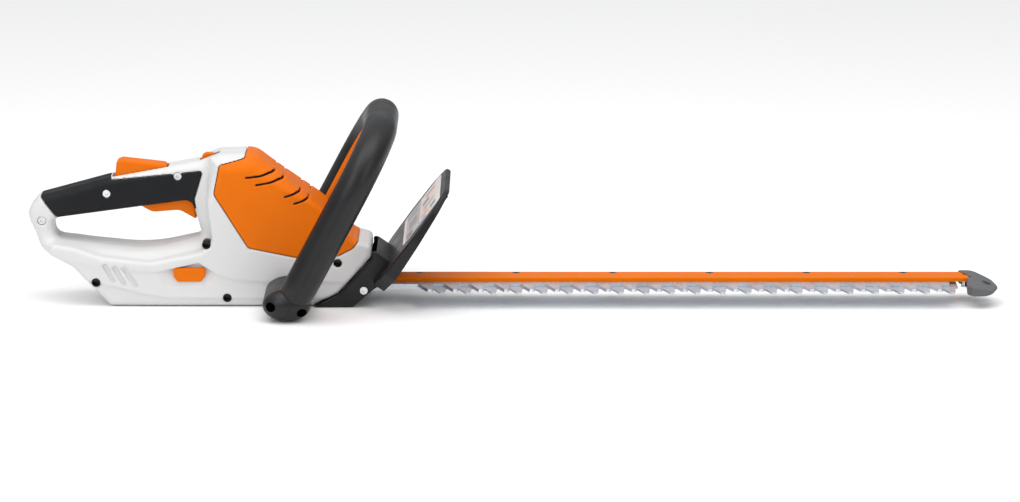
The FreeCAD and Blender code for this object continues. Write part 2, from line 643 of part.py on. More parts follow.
extrude(fan, "XY_Plane", circle(MOTOR_X, 0, dim("rotor_shaft_rad") + 0.03), FAN_Z - 1, 20, cut=True)

# ---------------------------------------------------------------- gearbox and crank

box = body("gearbox_base")
side_pad(box, GEARBOX, 31.4)
extrude(box, "XY_Plane", circle(CRANK_X, 0, 12), 5, 5)
extrude(box, "XY_Plane", rectangle(-259, -28.8, -173, 28.8, 4), GEARBOX_Z[1], 40, cut=True)
extrude(box, "YZ_Plane", rectangle(-24.4, 13, 24.4, 24.6), -200, 60, cut=True)
extrude(box, "XY_Plane", circle(CRANK_X, 0, 9.0), 6.8, 10, cut=True)
lid = body("gearbox_cover")
extrude(lid, "XY_Plane", rectangle(-262, -31.4, -170, 31.4, 3), GEARBOX_Z[2], GEARBOX_Z[3] - GEARBOX_Z[2])
extrude(lid, "XY_Plane", circle(CRANK_X, 0, 11.2), GEARBOX_Z[2], 7)
extrude(lid, "XY_Plane", circle(CRANK_X, 0, 9.0), GEARBOX_Z[2] - 1, 6.6, cut=True)
extrude(lid, "XY_Plane", circle(CRANK_X, 0, 5.6), GEARBOX_Z[2] - 1, 12, cut=True)
extrude(lid, "XY_Plane", circle(MOTOR_X, 0, 7.6), GEARBOX_Z[2] - 1, 12, cut=True)
BOX_SCREWS = [(-257.6, -27), (-257.6, 27), (-174.4, -27), (-174.4, 27)]
for x, y in BOX_SCREWS:
    extrude(lid, "XY_Plane", circle(x, y, 1.7), GEARBOX_Z[2] - 1, 12, cut=True)
    extrude(box, "XY_Plane", circle(x, y, 4.2), GEARBOX_Z[1] + 12, GEARBOX_Z[2] - GEARBOX_Z[1] - 12)
    extrude(box, "XY_Plane", circle(x, y, 1.7), GEARBOX_Z[2] - 8, 12, cut=True)
down = Vector(0, 0, -1)
group("gearbox_screws", [screw(f"box_screw_{n}", (x, y, GEARBOX_Z[3] + 2), down, 9, 2.9, 2.0, 1.5)
                         for n, (x, y) in enumerate(BOX_SCREWS)])


def bearing(label, z, high):
    """A ball bearing as one ring with its two grooves."""
    made = body(label)
    extrude(made, "XY_Plane", circle(CRANK_X, 0, 8.95), z, high)
    extrude(made, "XY_Plane", circle(CRANK_X, 0, dim("crank_shaft_rad") + 0.05), z - 1, high + 2, cut=True)
    for face in (z - 0.5, z + high - 0.5):
        groove = circle(CRANK_X, 0, 7.6) + circle(CRANK_X, 0, 6.4)
        extrude(made, "XY_Plane", groove, face, 1.0, cut=True)
    return made


bearing("lower_bearing", 7.0, 5.8)
bearing("upper_bearing", GEARBOX_Z[2] + 0.1, 5.4)

crank = body("crank_cams")
extrude(crank, "XY_Plane", circle(CRANK_X, 0, dim("crank_shaft_rad")), 7.2, 33.2)
# the two cams stand half a turn apart, across the stroke at rest
extrude(crank, "XY_Plane", circle(CRANK_X, -dim("crank_throw"), dim("cam_rad")), LOWER_Z[0] + 0.05, 2.3)
extrude(crank, "XY_Plane", circle(CRANK_X, dim("crank_throw"), dim("cam_rad")), LOWER_Z[1], 2.55)
extrude(crank, "XY_Plane", circle(CRANK_X, 0, 5.5), LOWER_Z[1], GEAR_Z - 0.1 - LOWER_Z[1])
gear = body("crank_gear")
extrude(gear, "XY_Plane", outline(spur_points(CRANK_X, 0, MODULE, GEAR, 0.0)), GEAR_Z, "dims.gear_thick")
for face, side in ((GEAR_Z - 1, 1), (GEAR_Z + dim("gear_thick") - 2.0, 1)):
    recess = circle(CRANK_X, 0, 22.5) + circle(CRANK_X, 0, 9.5)
    extrude(gear, "XY_Plane", recess, face, 3.0, cut=True, side=side)
for step in range(6):
    angle = math.tau * step / 6
    hole = circle(CRANK_X + 16 * math.cos(angle), 16 * math.sin(angle), 3.5)
    extrude(gear, "XY_Plane", hole, GEAR_Z - 1, 10, cut=True)
extrude(gear, "XY_Plane", circle(CRANK_X, 0, dim("crank_shaft_rad") + 0.03), GEAR_Z - 1, 10, cut=True)

# ---------------------------------------------------------------- blades

TRAVEL = dim("crank_throw")
YOKE_LONG = dim("cam_rad") + dim("yoke_play")
YOKE_WIDE = dim("cam_rad") + dim("crank_throw") + 0.4
BOLT_XS = [FIRST_BOLT_X + dim("bolt_pitch") * n for n in range(int(dim("bolt_count")))]


def blade(label, z, first_tooth, end, upper):
    """A toothed blade with its crank yoke; the teeth are ground on the face away from the other blade."""
    made = body(label)
    band = [
        (CRANK_X - YOKE_LONG - 5, -23.4, 3), (CRANK_X + YOKE_LONG + 5, -23.4, 2),
        (CRANK_X + YOKE_LONG + 7, -22, 2),
        (end, -22, 2), (end, 5, 7), (end - 8, 12, 4), (CRANK_X + YOKE_LONG + 9, 12, 4),
        (CRANK_X + YOKE_LONG + 5, 23.4, 3), (CRANK_X - YOKE_LONG - 5, 23.4, 3),
    ]
    extrude(made, "XY_Plane", outline(band), z, "dims.blade_thick")
    yoke = rectangle(CRANK_X - YOKE_LONG, -YOKE_WIDE, CRANK_X + YOKE_LONG, YOKE_WIDE, 4)
    extrude(made, "XY_Plane", yoke, z - 1, "dims.blade_thick + 2", cut=True)
    for x in BOLT_XS:
        guide = rectangle(x - TRAVEL - 3.2, BOLT_Y - 2.7, x + TRAVEL + 3.2, BOLT_Y + 2.7, 2.5)
        extrude(made, "XY_Plane", guide, z - 1, "dims.blade_thick + 2", cut=True)
    flat = z if upper else z + dim("blade_thick")
    tooth_outline = [(x + first_tooth, y - 22, r) for x, y, r in TOOTH]
    tooth = extrude(made, "XY_Plane", outline(tooth_outline), flat if upper else f"-({flat})",
                    "dims.blade_thick", side=1 if upper else -1, taper=TOOTH_TAPER)
    pattern = made.newObject("PartDesign::LinearPattern", f"{label}_teeth")
    pattern.Originals = [tooth]
    line = [f for f in made.Origin.OriginFeatures if f.Role == "X_Axis"][0]
    pattern.Direction = (line, [""])
    pattern.setExpression("Length", "dims.tooth_pitch * (dims.tooth_count - 1)")
    pattern.setExpression("Occurrences", "dims.tooth_count")
    made.Tip = pattern
    return made


TOOTH_TAPER = -28.0
blade("upper_blade", UPPER_Z[0], FIRST_TOOTH_X, 412, True)
blade("lower_blade", LOWER_Z[0], FIRST_TOOTH_X + dim("tooth_pitch") / 2, 419.5, False)

rail = body("blade_rail")
extrude(rail, "XY_Plane", rectangle(RAIL_X[0], -12, RAIL_X[1], 12, 2), RAIL_Z[0], "dims.rail_thick")
rounded(rail, 1.6, lambda edge: edge.BoundBox.ZMin > RAIL_Z[1] - 0.01 and edge.BoundBox.XLength > 50)
for x in BOLT_XS:
    extrude(rail, "XY_Plane", circle(x, BOLT_Y, 2.65), RAIL_Z[0] - 1, 10, cut=True)
    extrude(rail, "XY_Plane", circle(x, BOLT_Y, 3.7), RAIL_Z[1] - 2, 10, cut=True)
extrude(rail, "XY_Plane", circle(428, 0, 2.1), RAIL_Z[0] - 1, 10, cut=True)


def rail_bolt(number, x):
    made = body(f"bolt_{number}", Placement(Vector(x, BOLT_Y, 0), Rotation()), export=False)
    extrude(made, "XY_Plane", circle(0, 0, 2.6), 9.0, RAIL_Z[1] - 9.4)
    extrude(made, "XY_Plane", circle(0, 0, 3.6), RAIL_Z[1] - 1.95, 1.8)
    extrude(made, "XY_Plane", polygon(0, 0, 1.5, 6), RAIL_Z[1] - 1.2, 4, cut=True)
    return made


def ring(label, x, z, high, edges, bore):
    made = body(label, Placement(Vector(x, BOLT_Y, 0), Rotation()), export=False)
    extrude(made, "XY_Plane", edges, z, high)
    extrude(made, "XY_Plane", circle(0, 0, bore), z - 1, high + 2, cut=True)
    return made


group("blade_bolts", [rail_bolt(n, x) for n, x in enumerate(BOLT_XS)])
washers, nuts = [], []
for number, x in enumerate(BOLT_XS):
    washers.append(ring(f"washer_{number}", x, 12.6, 1.7, circle(0, 0, 6.5), 2.65))
    nuts.append(ring(f"nut_{number}", x, 9.4, 3.15, polygon(0, 0, 4.6, 6), 2.65))
group("blade_washers", washers)
group("blade_nuts", nuts)

tip = body("tip_guard")
extrude(tip, "XY_Plane", outline(TIP), 11.5, "dims.tip_high")
rounded(tip, 3.6, lambda edge: edge.BoundBox.ZLength < 0.01 and edge.BoundBox.XMax > 424)
extrude(tip, "XY_Plane", rectangle(400, -60, 432, 30), 13.9, 5.5, cut=True)
extrude(tip, "XY_Plane", rectangle(400, -12.3, 432.4, 12.3, 2), 19, 10, cut=True)
extrude(tip, "XY_Plane", circle(447, -16, 4), 0, 40, cut=True)
extrude(tip, "XY_Plane", circle(428, 0, 2.1), 0, 40, cut=True)
extrude(tip, "XY_Plane", circle(428, 0, 4), 5, 7.6, cut=True)
screw_up = screw("tip_screw", (428, 0, 11.6), UP, 10.5, 3.6, 1.0, 2.0)
exports.append(screw_up)

bracket = body("blade_bracket")
side_pad(bracket, BRACKET, 31.6)
extrude(bracket, "YZ_Plane", rectangle(-25, 0, 25, 23.8), -200, 100, cut=True)
for turn in (-1, 1):
    extrude(bracket, "XZ_Plane", circle(-141.5, 16.5, 1.9), 20, 20, cut=True, side=turn)

# ---------------------------------------------------------------- hand guard


def leaning(foot, lean, out=0.0):
    """A frame with x across the tool, y up the slope and z out of the front face."""
    slope = math.radians(lean)
    up_slope = Vector(math.cos(slope), 0, math.sin(slope))
    front = Vector(math.sin(slope), 0, -math.cos(slope))
    return Placement(foot + front * out, Rotation(FAR, up_slope, front, "XYZ"))


# (towards the middle of the loop, out of its plane, corner radius)
BAIL_SECTION = [(-4.9, -9, 1), (4.9, -9, 5.5), (4.9, 9, 5.5), (-4.9, 9, 1)]
GUARD_FRAME = leaning(GUARD_FOOT, dim("guard_lean"))
tray = body("guard_tray", GUARD_FRAME, export=False)
extrude(tray, "XY_Plane", outline(GUARD_FACE), 0, "dims.guard_rim")
rounded(tray, 2.0, lambda edge: edge.BoundBox.DiagonalLength > 4
        and abs(edge.valueAt(edge.FirstParameter).z) < 0.01)
# the rim grows shallower up the slope
rim_slope = outline([(6, 14, 0), (6, 12.4, 0), (103, 4.2, 0), (103, 14, 0)])
extrude(tray, "YZ_Plane", rim_slope, -90, 180, cut=True)
extrude(tray, "XY_Plane", outline(grown(GUARD_FACE, -3.0)), "dims.guard_thick", 20, cut=True)
for x in (-44, -22, 22, 44):
    extrude(tray, "XY_Plane", rectangle(x - 1, -4, x + 1, 96), "dims.guard_thick - 0.5", 4)
guard_shoe = body("guard_shoe", export=False)
side_pad(guard_shoe, GUARD_BASE, "dims.body_half")
rounded(guard_shoe, 2.0, lambda edge: edge.BoundBox.YLength < 0.01 and edge.BoundBox.XMin > -153)
side_pad(guard_shoe, GUARD_BASE_CORE, "dims.body_half - dims.wall", cut=True)
for turn in (-1, 1):
    extrude(guard_shoe, "XZ_Plane", circle(-141.5, 16.5, 1.9), 25, 20, cut=True, side=turn)
guard_solid = combine("Fuse", "guard_solid", [tray, guard_shoe], export=False)
blade_way = block("blade_way", (-200, -25, 13.0), (-90, 25, 24.2))
nose_room = body("nose_room", export=False)
side_pad(nose_room, grown(HOUSING, 0.35), "dims.body_half + 0.4")
combine("Cut", "hand_guard", [guard_solid, blade_way, nose_room])
film = body("guard_label", leaning(GUARD_FOOT, dim("guard_lean"), -0.35))
extrude(film, "XY_Plane", rectangle(-56, 34, 56, 92, 8), 0, 0.3)
group("guard_screws", [
    screw("guard_screw_near", (-141.5, -37.4, 16.5), FAR, 11),
    screw("guard_screw_far", (-141.5, 37.4, 16.5), NEAR, 11),
])

# ---------------------------------------------------------------- loop handle

LOOP_FRAME = leaning(LOOP_FOOT, dim("loop_lean"))


def loop_path(label, inset, start, elbow, foot_radius=None):
    """The loop's run, inset towards its middle, from one side over the top to the other."""
    half = dim("loop_half") - inset
    top = dim("loop_high") - inset
    corners = [(-half, start, 0), (-half, top, elbow - inset), (half, top, elbow - inset), (half, start, 0)]
    if foot_radius is not None:
        corners = [
            (-36.0, 0, 0), (-half, 0, foot_radius), corners[1],
            corners[2], (half, 0, foot_radius), (36.0, 0, 0),
        ]
    edges = outline(corners)
    # the closing line between the two feet is not part of the run
    return sheet_sketch(label, edges[:-1], LOOP_FRAME)


def leg_section(label, edges, inset, start):
    """A section across the near leg's lower end, x towards the middle of the loop, y out of its plane."""
    at = LOOP_FRAME.multVec(Vector(-(dim("loop_half") - inset), start, 0))
    across = LOOP_FRAME.Rotation.multVec(Vector(1, 0, 0))
    front = LOOP_FRAME.Rotation.multVec(UP)
    normal = across.cross(front)
    return sheet_sketch(label, edges, Placement(at, Rotation(across, front, normal, "XYZ")))


def oval(half_wide, half_deep):
    reach_x, reach_y = Vector(half_wide, 0, 0), Vector(0, half_deep, 0)
    if half_wide > half_deep:
        return [Part.Ellipse(reach_x, reach_y, Vector())]
    return [Part.Ellipse(reach_y, -reach_x, Vector())]


ELBOW = 62.0
FOOT_LONG = 54.0
foot_at = LOOP_FRAME.multVec(Vector(-36.0, 0, 0))
up_slope = LOOP_FRAME.Rotation.multVec(FAR)
front_out = LOOP_FRAME.Rotation.multVec(UP)
tube_turn = Rotation(up_slope, front_out, up_slope.cross(front_out), "XYZ")
tube_section = sheet_sketch("tube_section", oval(dim("loop_wide") / 2, dim("loop_deep") / 2),
                            Placement(foot_at, tube_turn))
tube = pipe("loop_tube", loop_path("tube_run", 0.0, 0.0, ELBOW, 26.0), tube_section)
hollow = pipe("loop_hollow", loop_path("hollow_run", -5.0, 28.0, ELBOW),
              leg_section("hollow_section", oval(8.0, 11.5), -5.0, 28.0))
channel = pipe("bail_channel", loop_path("channel_run", 13.0, 36.0, ELBOW),
               leg_section("channel_section", rectangle(-8.8, -9.3, 8.8, 9.3), 13.0, 36.0))
bail = pipe("loop_switch_bail", loop_path("bail_run", 12.6, 42.0, ELBOW),
            leg_section("bail_section", outline(BAIL_SECTION), 12.6, 42.0))
exports.append(bail)
feet = []
for turn in (-1, 1):
    name = "near" if turn > 0 else "far"
    foot = body(f"loop_foot_{name}", export=False)
    centre = Vector(-211.5, 15.4, 0)
    ring_edges = [Part.Ellipse(centre + Vector(22.5, 0, 0), centre + Vector(0, 15.2, 0), centre)]
    extrude(foot, "XZ_Plane", ring_edges, "dims.body_half + 0.3", FOOT_LONG, side=turn)
    end_at = Placement(Vector(-211.5, -turn * (dim("body_half") + FOOT_LONG), 15.4), Rotation())
    end = solid(f"loop_foot_end_{name}", "Ellipsoid", False, end_at,
                Radius1=15.2, Radius2=22.45, Radius3=14.5)
    feet += [foot, end]
access = []
loop_screws = []
for number, (x, z) in enumerate(LOOP_SCREWS):
    for turn, axis in ((-1, NEAR), (1, FAR)):
        name = f"{number}_{'far' if turn > 0 else 'near'}"
        access.append(rod(f"screw_way_{name}", 4.6, 60.0, (x, turn * 58.0, z), axis))
        access.append(rod(f"screw_bore_{name}", 2.1, 40.0, (x, turn * 30.0, z), axis))
        loop_screws.append(screw(f"loop_screw_{name}", (x, turn * 60.3, z), axis * -1, 28, 4.2, 2.3, 2.0))
loop_solid = tube
for number, piece in enumerate(feet):
    loop_solid = combine("Fuse", f"loop_solid_{number}", [loop_solid, piece], export=False)
loop_open = combine("Cut", "loop_open", [loop_solid, hollow, channel] + access, export=False)
for half_name, low, high in (("loop_front_half", 0.05, 60), ("loop_rear_half", -60, -0.05)):
    keep = block(f"{half_name}_keep", (-150, -80, low), (150, 260, high))
    keep.Placement = LOOP_FRAME.multiply(Placement(Vector(-150, -80, low), Rotation()))
    combine("Common", half_name, [loop_open, keep])
group("loop_screws", loop_screws)

doc.recompute()

# ---------------------------------------------------------------- checks and export

faults = []
for thing in doc.Objects:
    if "Invalid" in thing.State or "Error" in thing.State:
        faults.append(f"{thing.Label}: {thing.State}")
for thing in exports:
    if thing.Shape.isNull() or not thing.Shape.isValid():
        faults.append(f"{thing.Label}: bad shape")
if faults:
    raise RuntimeError("; ".join(faults))
os.makedirs("parts", exist_ok=True)
for thing in exports:
    thing.Shape.exportStep(f"parts/{thing.Label}.step")
    bounds = thing.Shape.BoundBox
    print(f"{thing.Label:22} solids {len(thing.Shape.Solids):2} volume {thing.Shape.Volume:10.0f}"
          f"  x {bounds.XMin:8.2f} {bounds.XMax:8.2f}  y {bounds.YMin:8.2f} {bounds.YMax:8.2f}"
          f"  z {bounds.ZMin:8.2f} {bounds.ZMax:8.2f}")
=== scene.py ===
import math

import bpy
import numpy as np
from mathutils import Euler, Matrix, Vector


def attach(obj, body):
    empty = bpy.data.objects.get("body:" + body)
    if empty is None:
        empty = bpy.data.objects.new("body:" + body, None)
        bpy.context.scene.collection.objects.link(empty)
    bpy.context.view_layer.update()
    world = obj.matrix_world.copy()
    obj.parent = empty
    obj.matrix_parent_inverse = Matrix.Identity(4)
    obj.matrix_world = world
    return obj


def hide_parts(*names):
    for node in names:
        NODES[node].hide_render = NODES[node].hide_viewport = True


# The hedge trimmer's looks. Outlines and moulding sizes are in millimetres in the row frame, with x along the
# blades, z up and the near side towards -y. MM turns them into Blender's metres.

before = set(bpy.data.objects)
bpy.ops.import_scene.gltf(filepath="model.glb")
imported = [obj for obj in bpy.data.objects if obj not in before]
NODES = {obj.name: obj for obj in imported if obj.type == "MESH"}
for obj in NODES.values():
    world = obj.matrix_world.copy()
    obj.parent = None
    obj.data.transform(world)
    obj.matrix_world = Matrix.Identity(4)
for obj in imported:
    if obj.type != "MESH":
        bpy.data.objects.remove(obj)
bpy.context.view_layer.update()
MM = 0.001

# ---------------------------------------------------------------- colours, scene-linear

WHITE = (0.66, 0.662, 0.66)
ORANGE = (0.74, 0.155, 0.002)
BLACK = (0.005, 0.0055, 0.0065)
GREY = (0.105, 0.107, 0.112)
STEEL = (0.62, 0.66, 0.72)

# ---------------------------------------------------------------- outlines: (x, z, corner radius)

HOUSING = [
    (-381, 0, 4), (-416, 37, 25), (-446, 53, 12), (-461, 87, 16), (-448, 102.3, 9), (-382, 120.3, 30),
    (-296, 136, 12), (-277, 143.5, 12), (-244, 144.5, 20), (-183, 97, 60), (-151, 64, 12),
    (-134.5, 59, 5), (-134.5, 47.5, 4), (-166, 12.5, 12), (-190, 0, 0),
]
HANDLE_HOLE = [(-436, 80.5, 7), (-433, 62, 11), (-344, 51.6, 200), (-294.5, 64, 5), (-304, 98.5, 9)]
# the wide part of the body: battery below the handle, motor in front of it
BODY = [
    (-381, 0, 4), (-416, 37, 25), (-440, 50, 12), (-436, 60, 6), (-413, 56.5, 8), (-390, 48.3, 20),
    (-343, 43, 40), (-296, 52.5, 10), (-284, 62, 10), (-289, 100, 30), (-284, 160, 10), (-183, 160, 0),
    (-100, 100, 0), (-120, 0, 0),
]
COVER = [
    (-252.5, 160, 0), (-252.5, 141, 2), (-276.5, 135, 2), (-281.8, 108, 4), (-250, 57, 3), (-204, 47.5, 3),
    (-166, 49, 6), (-152, 56, 6), (-145, 64.5, 3), (-145, 85, 0), (-160, 100, 0), (-200, 160, 0),
]
GRIP_PAD = [
    (-447, 102.5, 3), (-431.5, 82, 2), (-431, 74, 0), (-300, 90, 0), (-301, 99.5, 2), (-292.5, 127.5, 2.5),
    (-379, 118.2, 1), (-382, 122, 0), (-384, 130, 0), (-450, 114, 0),
]
KEY_RECESS = [
    (-336, 33.6, 2), (-321, 37.1, 8), (-297, 42.3, 2), (-281.8, 32.7, 1), (-288, 20, 6), (-328, 19, 8),
]
KEY_HEAD = [
    (-321, 37.6, 2), (-320.7, 29.8, 3), (-317.5, 24.4, 3.5), (-295, 24.4, 3.5), (-290.6, 30, 3),
    (-290.4, 37.6, 2),
]
TRIGGER = [
    (-355, 99, 1), (-355, 93, 1), (-342, 85.3, 14), (-316, 87.5, 12), (-300.5, 78.5, 2), (-299.8, 82, 1),
    (-302.5, 104, 4), (-308, 106.5, 4), (-314, 101, 3),
]
LEVER = [
    (-376.5, 117.6, 1), (-374.6, 134.6, 3), (-369.4, 136.6, 3), (-327.2, 131.8, 4), (-326.8, 121, 4),
    (-329, 115.2, 4), (-335, 115.4, 4), (-338, 118.4, 3),
]
# centre lines of the cover's air slots and of the grooves beside the battery: (x, z)
VENTS = [
    [(-251.2, 123.9), (-237, 125.5), (-230, 127.6), (-222.5, 129.0)],
    [(-241.8, 117.0), (-228.7, 119.2), (-221.9, 121.4), (-214.6, 122.8)],
    [(-215.0, 105.7), (-207.7, 107.9), (-203.2, 109.8), (-199.2, 110.8)],
    [(-206.2, 99.3), (-199.5, 101.4), (-194.9, 103.6), (-191.6, 104.8)],
]
RIBS = [
    [(-385.2, 39.4), (-382.6, 33.8), (-377.6, 25.0)],
    [(-376.0, 37.6), (-372.9, 31.2), (-367.4, 22.0)],
    [(-367.2, 36.8), (-362.8, 29.7), (-356.5, 20.6)],
]
# centres: (x, z)
BODY_SCREWS = [(-394, 23), (-270.4, 8.5), (-289.5, 59.5), (-166, 42.2)]
HANDLE_SCREWS = [(-445.5, 79), (-384, 105), (-316.7, 121.7)]
SOCKET, LAMP = (-304.0, 26.0, 6.1), (-290.0, 26.0, 1.9)  # with the hole's radius
KEY_STEM = (-305.5, 30.6)
# side boxes open for lever, trigger, unlock slide and blade: ((x, z, x, z), reach from the middle plane)
LEVER_GAP = ((-378.5, 112, -326, 150), 9.8)
TRIGGER_GAP = ((-358.5, 74, -297, 104), 8.2)
SLIDE_GAP = ((-296, 129, -278, 150), 6.6)
BLADE_GAP = ((-186, 13, -130, 25), 25.0)
BODY_HALF, GRIP_HALF, WALL = 35.0, 17.0, 2.6
PAD_DEEP = 2.2  # how far the soft pads are let into the handle

# ---------------------------------------------------------------- distance fields


def outline(corners, steps=7):
    """The closed outline of (x, y, radius) corners as points, with tangent arcs at the corners."""
    points = []
    for index, (x, y, radius) in enumerate(corners):
        corner = np.array((x, y), float)
        before = np.array(corners[index - 1][:2]) - corner
        after = np.array(corners[(index + 1) % len(corners)][:2]) - corner
        long_before, long_after = np.linalg.norm(before), np.linalg.norm(after)
        before, after = before / long_before, after / long_after
        angle = math.acos(np.clip(before @ after, -1, 1))
        if radius <= 0 or angle > math.pi - 0.01:
            points.append(corner)
            continue
        reach = min(radius / math.tan(angle / 2), 0.48 * long_before, 0.48 * long_after)
        middle = (before + after) / np.linalg.norm(before + after)
        centre = corner + middle * reach / math.cos(angle / 2)
        first, last = corner + before * reach - centre, corner + after * reach - centre
        for step in np.linspace(0, 1, steps):
            blend = first * (1 - step) + last * step
            points.append(centre + blend * np.linalg.norm(first) / np.linalg.norm(blend))
    return np.array(points)


def distance_to_line(points, u, v, closed=False):
    """Distance from each (u, v) to a polyline."""
    nearest = np.full(u.shape, 1e9)
    ends = np.roll(points, -1, axis=0) if closed else points[1:]
    for (ax, ay), (bx, by) in zip(points, ends):
        dx, dy = bx - ax, by - ay
        along = np.clip(((u - ax) * dx + (v - ay) * dy) / max(dx * dx + dy * dy, 1e-9), 0, 1)
        nearest = np.minimum(nearest, (u - ax - along * dx) ** 2 + (v - ay - along * dy) ** 2)
    return np.sqrt(nearest)


def inside_of(points, u, v):
    """Signed distance to a closed outline, negative inside."""
    inside = np.zeros(u.shape, bool)
    for (ax, ay), (bx, by) in zip(points, np.roll(points, -1, axis=0)):
        crosses = (ay > v) != (by > v)
        if by != ay:
            inside ^= crosses & (u < (bx - ax) * (v - ay) / (by - ay) + ax)
    distance = distance_to_line(points, u, v, closed=True)
    return np.where(inside, -distance, distance)


def smooth_step(low, high, value):
    t = np.clip((value - low) / (high - low), 0, 1)
    return t * t * (3 - 2 * t)


def soft_union(a, b, size):
    share = np.clip(0.5 + 0.5 * (b - a) / size, 0, 1)
    return b * (1 - share) + a * share - size * share * (1 - share)


def soft_cut(a, b, size):
    """a without b, with the new edge rounded over size; also used with -b to keep only b's inside."""
    return -soft_union(-a, b, size)


def slab(flat, across, half, edge):
    """A flat outline's field given thickness: rounded along its edges by edge."""
    u, v = flat + edge, np.abs(across) - half + edge
    outside = np.sqrt(np.maximum(u, 0) ** 2 + np.maximum(v, 0) ** 2)
    return outside + np.minimum(np.maximum(u, v), 0) - edge


def block(across_one, half_one, across_two, half_two):
    """A box's field in two directions, from the distances to its middle planes."""
    return np.maximum(np.abs(across_one) - half_one, np.abs(across_two) - half_two)


class Grid:
    """A box of samples, in millimetres."""

    def __init__(self, low, high, step):
        self.low, self.step = np.array(low, float), step
        axes = [np.arange(a, b + step, step) for a, b in zip(low, high)]
        self.x, self.y, self.z = np.meshgrid(*axes, indexing="ij", sparse=True)
        self.flat_x, self.flat_z = np.meshgrid(axes[0], axes[2], indexing="ij")
        self.plan_x, self.plan_y = np.meshgrid(axes[0], axes[1], indexing="ij")

    def side(self, corners):
        """Signed distance to an outline in the side view, as a field over the box."""
        return inside_of(outline(corners), self.flat_x, self.flat_z)[:, None, :]

    def plan(self, corners):
        """Signed distance to an outline seen from above, as a field over the box."""
        return inside_of(outline(corners), self.plan_x, self.plan_y)[:, :, None]

    def near_line(self, points):
        return distance_to_line(np.array(points, float), self.flat_x, self.flat_z)[:, None, :]


CORNERS = np.array([(i, j, k) for i in (0, 1) for j in (0, 1) for k in (0, 1)])
EDGES = [(a, b) for a in range(8) for b in range(a + 1, 8) if np.abs(CORNERS[a] - CORNERS[b]).sum() == 1]


def surface(field, grid):
    """Vertices and quads of a field's zero surface, by surface nets."""
    field = np.pad(np.ascontiguousarray(field, dtype=np.float32), 1, constant_values=9.0)
    solid = field < 0
    shape = tuple(n - 1 for n in field.shape)
    count = sum(solid[i:i + shape[0], j:j + shape[1], k:k + shape[2]].astype(np.int8) for i, j, k in CORNERS)
    cells = np.argwhere((count > 0) & (count < 8))
    number = np.full(shape, -1, np.int64)
    number[tuple(cells.T)] = np.arange(len(cells))
    values = np.stack([field[tuple((cells + corner).T)] for corner in CORNERS], axis=1)
    total = np.zeros((len(cells), 3))
    hits = np.zeros(len(cells))
    for a, b in EDGES:
        crossing = (values[:, a] < 0) != (values[:, b] < 0)
        gap = values[:, a] - values[:, b]
        share = np.where(crossing, values[:, a] / np.where(gap == 0, 1, gap), 0)
        total += crossing[:, None] * (CORNERS[a] + share[:, None] * (CORNERS[b] - CORNERS[a]))
        hits += crossing
    places = grid.low + (cells + total / hits[:, None] - 1) * grid.step
    quads = []
    for axis in range(3):
        ahead = [slice(None)] * 3
        behind = [slice(None)] * 3
        ahead[axis], behind[axis] = slice(1, None), slice(None, -1)
        change = solid[tuple(ahead)] != solid[tuple(behind)]
        at = np.argwhere(change)
        one, two = [n for n in range(3) if n != axis]
        at = at[(at[:, one] > 0) & (at[:, two] > 0)]
        step_one, step_two = np.eye(3, dtype=int)[one], np.eye(3, dtype=int)[two]
        ring = [at - step_one - step_two, at - step_two, at, at - step_one]
        quad = np.stack([number[tuple(corner.T)] for corner in ring], axis=1)
        outward = solid[tuple(at.T)] ^ (axis == 1)
        quads.append(np.where(outward[:, None], quad, quad[:, ::-1]))
    return places, np.concatenate(quads)


# ---------------------------------------------------------------- pieces


def mesh_object(name, vertices, faces):
    mesh = bpy.data.meshes.new(name)
    mesh.vertices.add(len(vertices))
    mesh.vertices.foreach_set("co", (np.asarray(vertices) * MM).astype(np.float32).ravel())
    faces = np.asarray(faces, dtype=np.int32)
    mesh.loops.add(faces.size)
    mesh.loops.foreach_set("vertex_index", faces.ravel())
    mesh.polygons.add(len(faces))
    mesh.polygons.foreach_set("loop_start", np.arange(0, faces.size, faces.shape[1], dtype=np.int32))
    mesh.polygons.foreach_set("use_smooth", np.ones(len(faces), bool))
    mesh.update(calc_edges=True)
    mesh.validate()
    made = bpy.data.objects.new(name, mesh)
    bpy.context.scene.collection.objects.link(made)
    return made


def moulded(name, field, grid, finish, body, nodes=()):
    """A piece from a distance field, in place of the CAD nodes named, if any."""
    vertices, faces = surface(field, grid)
    piece = mesh_object(name, vertices, faces)
    piece.data.materials.append(finish)
    if nodes:
        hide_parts(*nodes)
    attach(piece, body)


# ---------------------------------------------------------------- materials


